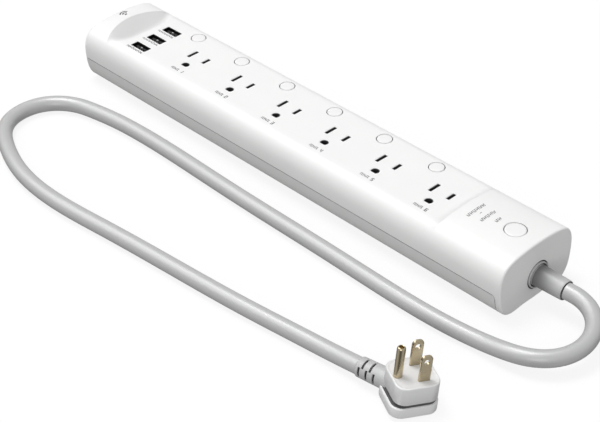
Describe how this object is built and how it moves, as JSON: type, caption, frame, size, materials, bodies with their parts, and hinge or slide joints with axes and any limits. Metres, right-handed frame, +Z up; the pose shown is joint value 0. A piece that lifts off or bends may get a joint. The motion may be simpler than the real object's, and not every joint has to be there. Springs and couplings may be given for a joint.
{
  "type": "power strip",
  "caption": "Long white power strip with switched outlets, USB ports, a reset button and a captive grey mains cord ending in a flat right-angle plug.",
  "frame": {"origin": "bottom centre of the strip's housing on its feet, cord and plug not counted", "axes": "+X along the strip towards the cord end, +Y across it towards the buttons' side, +Z up out of the outlets"},
  "size_m": [0.4183, 0.1712, 0.0399],
  "materials": {
    "upper_plastic": "smooth moulded white",
    "lower_plastic": "smooth moulded white, slightly darker",
    "button_plastic": "smooth moulded white",
    "cord_sheath": "smooth light grey PVC sheath, semi-gloss",
    "boot_rubber": "moulded grey flexible PVC",
    "plug_plastic": "moulded light grey PVC",
    "blade_brass": "polished, pale",
    "contact_brass": "stamped strip",
    "shell_steel": "plated sheet",
    "screw_steel": "zinc plated",
    "black_plastic": "moulded black",
    "circuit_board": "green solder mask on glass-fibre laminate",
    "relay_plastic": "moulded blue case",
    "ferrite": "dark ferrite core with taped winding",
    "capacitor_sleeve": "shrink sleeve over an aluminium can",
    "varistor_lacquer": "dipped lacquer on a ceramic disc",
    "foot_rubber": "matte black",
    "lead_black": "PVC insulation",
    "lead_white": "PVC insulation",
    "lead_green": "PVC insulation"
  },
  "bodies": {
    "strip": {"upper_housing": "upper_plastic", "lower_housing": "lower_plastic", "foot_usb_end": "foot_rubber", "foot_cord_end": "foot_rubber", "screw_1": "screw_steel", "screw_2": "screw_steel", "screw_3": "screw_steel", "screw_4": "screw_steel", "tact_switch_1": "black_plastic", "tact_switch_2": "black_plastic", "tact_switch_3": "black_plastic", "tact_switch_4": "black_plastic", "tact_switch_5": "black_plastic", "tact_switch_6": "black_plastic", "reset_switch": "black_plastic", "neutral_bus": "contact_brass", "ground_bus": "contact_brass", "line_contact_1": "contact_brass", "line_contact_2": "contact_brass", "line_contact_3": "contact_brass", "line_contact_4": "contact_brass", "line_contact_5": "contact_brass", "line_contact_6": "contact_brass", "main_board": "circuit_board", "button_board": "circuit_board", "usb_board": "circuit_board", "relay_1": "relay_plastic", "relay_2": "relay_plastic", "relay_3": "relay_plastic", "relay_4": "relay_plastic", "relay_5": "relay_plastic", "relay_6": "relay_plastic", "transformer": "ferrite", "capacitor": "capacitor_sleeve", "varistor": "varistor_lacquer", "wifi_shield": "shell_steel", "usb_shell_1": "shell_steel", "usb_shell_2": "shell_steel", "usb_shell_3": "shell_steel", "usb_tongue_1": "black_plastic", "usb_tongue_2": "black_plastic", "usb_tongue_3": "black_plastic", "lead_line": "lead_black", "lead_neutral": "lead_white", "lead_ground": "lead_green", "cord_boot": "boot_rubber", "mains_cord": "cord_sheath", "plug_front": "plug_plastic", "plug_rear": "plug_plastic", "blade_neutral": "blade_brass", "blade_line": "blade_brass", "ground_pin": "blade_brass", "plug_strain_relief": "boot_rubber"},
    "outlet_button_1": {"outlet_button_1": "button_plastic"},
    "outlet_button_2": {"outlet_button_2": "button_plastic"},
    "outlet_button_3": {"outlet_button_3": "button_plastic"},
    "outlet_button_4": {"outlet_button_4": "button_plastic"},
    "outlet_button_5": {"outlet_button_5": "button_plastic"},
    "outlet_button_6": {"outlet_button_6": "button_plastic"},
    "reset_button": {"reset_button": "button_plastic"}
  },
  "joints": [
    {"name": "outlet_button_1_press", "type": "slide", "parent": "strip", "child": "outlet_button_1", "axis": [0, 0, -1], "range_m": [0, 0.0008], "stiffness_N_per_m": 400},
    {"name": "outlet_button_2_press", "type": "slide", "parent": "strip", "child": "outlet_button_2", "axis": [0, 0, -1], "range_m": [0, 0.0008], "stiffness_N_per_m": 400},
    {"name": "outlet_button_3_press", "type": "slide", "parent": "strip", "child": "outlet_button_3", "axis": [0, 0, -1], "range_m": [0, 0.0008], "stiffness_N_per_m": 400},
    {"name": "outlet_button_4_press", "type": "slide", "parent": "strip", "child": "outlet_button_4", "axis": [0, 0, -1], "range_m": [0, 0.0008], "stiffness_N_per_m": 400},
    {"name": "outlet_button_5_press", "type": "slide", "parent": "strip", "child": "outlet_button_5", "axis": [0, 0, -1], "range_m": [0, 0.0008], "stiffness_N_per_m": 400},
    {"name": "outlet_button_6_press", "type": "slide", "parent": "strip", "child": "outlet_button_6", "axis": [0, 0, -1], "range_m": [0, 0.0008], "stiffness_N_per_m": 400},
    {"name": "reset_button_press", "type": "slide", "parent": "strip", "child": "reset_button", "axis": [0, 0, -1], "range_m": [0, 0.0015], "stiffness_N_per_m": 400}
  ]
}
